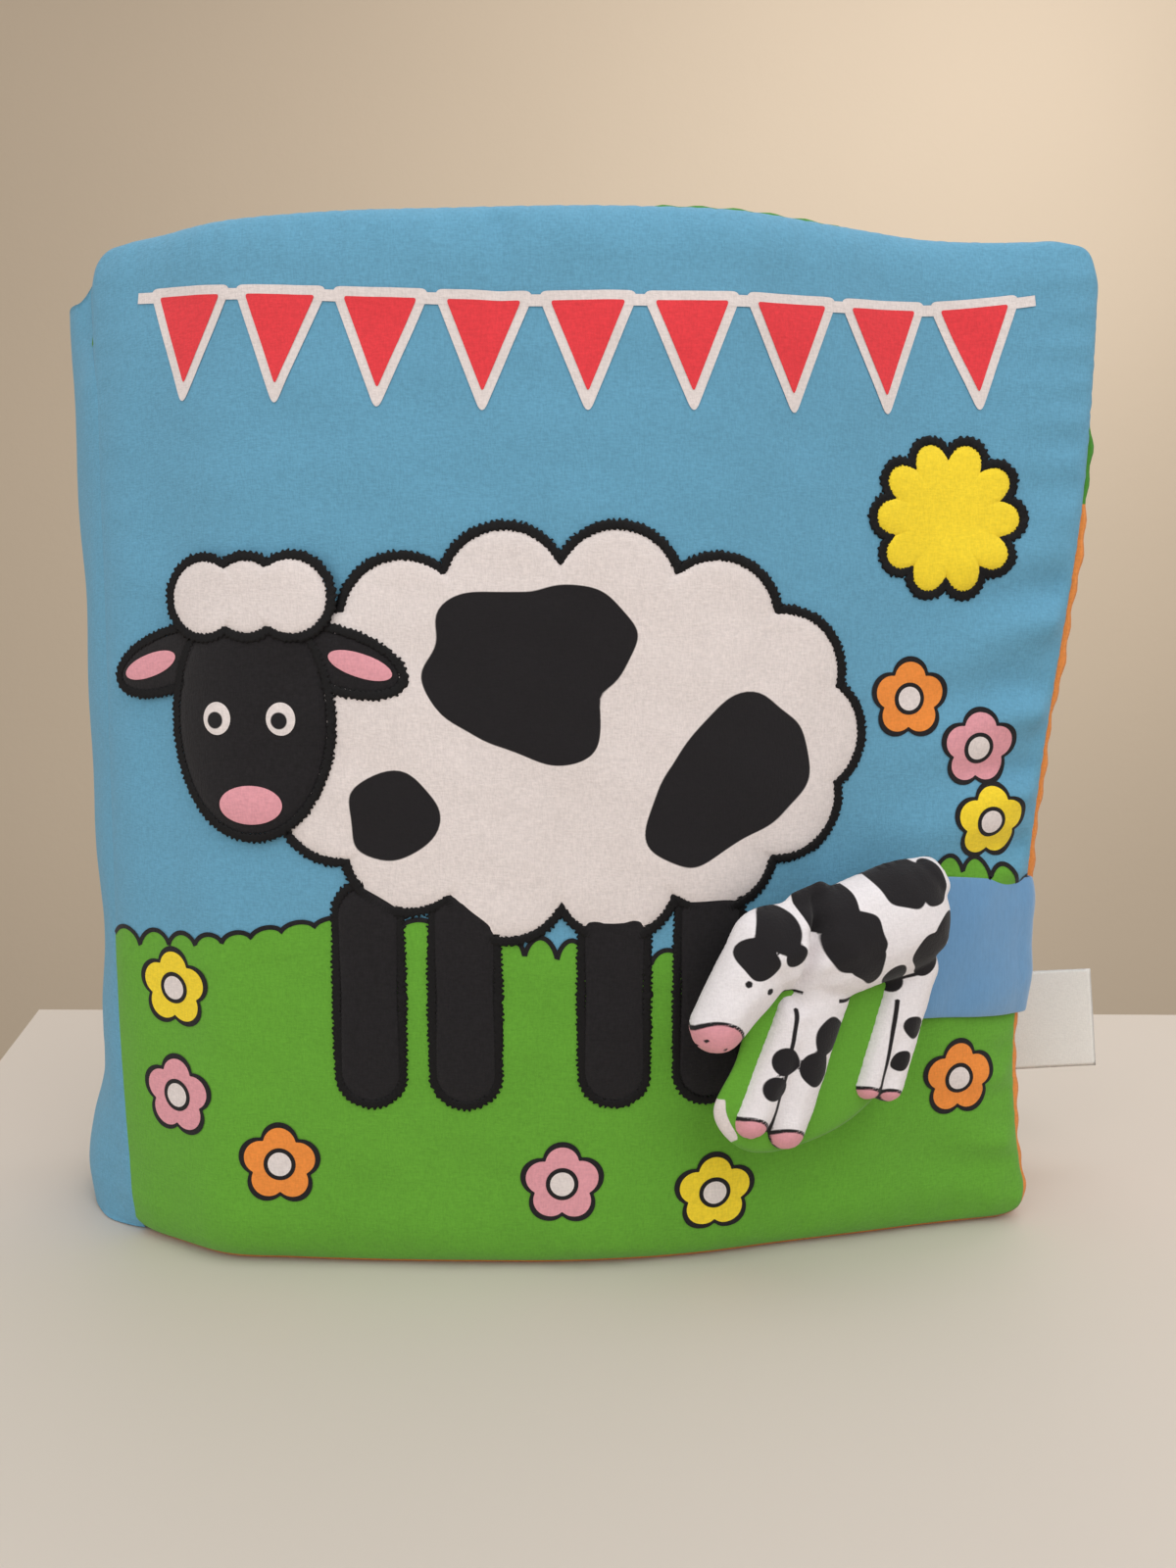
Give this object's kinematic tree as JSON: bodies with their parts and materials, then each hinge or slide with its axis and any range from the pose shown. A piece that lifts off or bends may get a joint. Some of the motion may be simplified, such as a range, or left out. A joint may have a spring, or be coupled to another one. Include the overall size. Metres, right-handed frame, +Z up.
{
  "type": "padded cloth book",
  "caption": "Square padded cloth book, standing closed, its bowed front cover held by a fabric strap with a small stuffed calf; both covers hinge on a soft spine.",
  "frame": {"origin": "on the surface the book stands on, at the middle of the foot of the middle page", "axes": "+X from spine to fore-edge, +Y from the front cover to the back cover, +Z up"},
  "size_m": [0.2791, 0.0991, 0.24],
  "materials": {
    "sky_cotton": "plain-weave printed cotton, sky blue",
    "green_cotton": "printed green on plain-weave cotton",
    "lining_cotton": "orange and green lining cotton",
    "page_cotton": "padded page cotton",
    "white_cotton": "white appliqué cotton",
    "black_cotton": "black appliqué cotton",
    "pink_cotton": "pink cotton",
    "yellow_cotton": "yellow cotton",
    "orange_print": "orange print",
    "red_print": "red print",
    "black_thread": "black satin-stitch thread",
    "strap_jersey": "light-blue knitted strap",
    "hook_and_loop": "hook-and-loop tape",
    "label_satin": "white woven satin ribbon"
  },
  "bodies": {
    "page_block": {"pages": "page_cotton", "spine_gusset": "sky_cotton"},
    "front_board": {"front_cover": "sky_cotton", "front_cover_lining": "lining_cotton", "ground_print": "green_cotton", "pink_flowers": "pink_cotton", "orange_flowers": "orange_print", "yellow_flowers": "yellow_cotton", "flower_eyes": "white_cotton", "red_pennants": "red_print", "white_borders": "white_cotton", "white_cloth": "white_cotton", "black_cloth": "black_cotton", "pink_cloth": "pink_cotton", "yellow_sun": "yellow_cotton", "satin_stitching": "black_thread", "closure_strap": "strap_jersey", "hook_patch": "hook_and_loop", "calf": "white_cotton", "calf_pink": "pink_cotton", "calf_spots": "black_cotton", "calf_web": "green_cotton"},
    "back_board": {"back_cover": "sky_cotton", "back_cover_lining": "lining_cotton", "loop_patch": "hook_and_loop", "label": "label_satin"}
  },
  "joints": [
    {"name": "front_cover_turn", "type": "hinge", "parent": "page_block", "child": "front_board", "pos_m": [-0.1185, -0.01031, 0], "axis": [0, 0, 1], "range_deg": [-170, 0], "deforming": ["spine_gusset"]},
    {"name": "back_cover_turn", "type": "hinge", "parent": "page_block", "child": "back_board", "pos_m": [-0.1185, 0.03569, 0], "axis": [0, 0, 1], "range_deg": [0, 170], "deforming": ["spine_gusset"]}
  ]
}
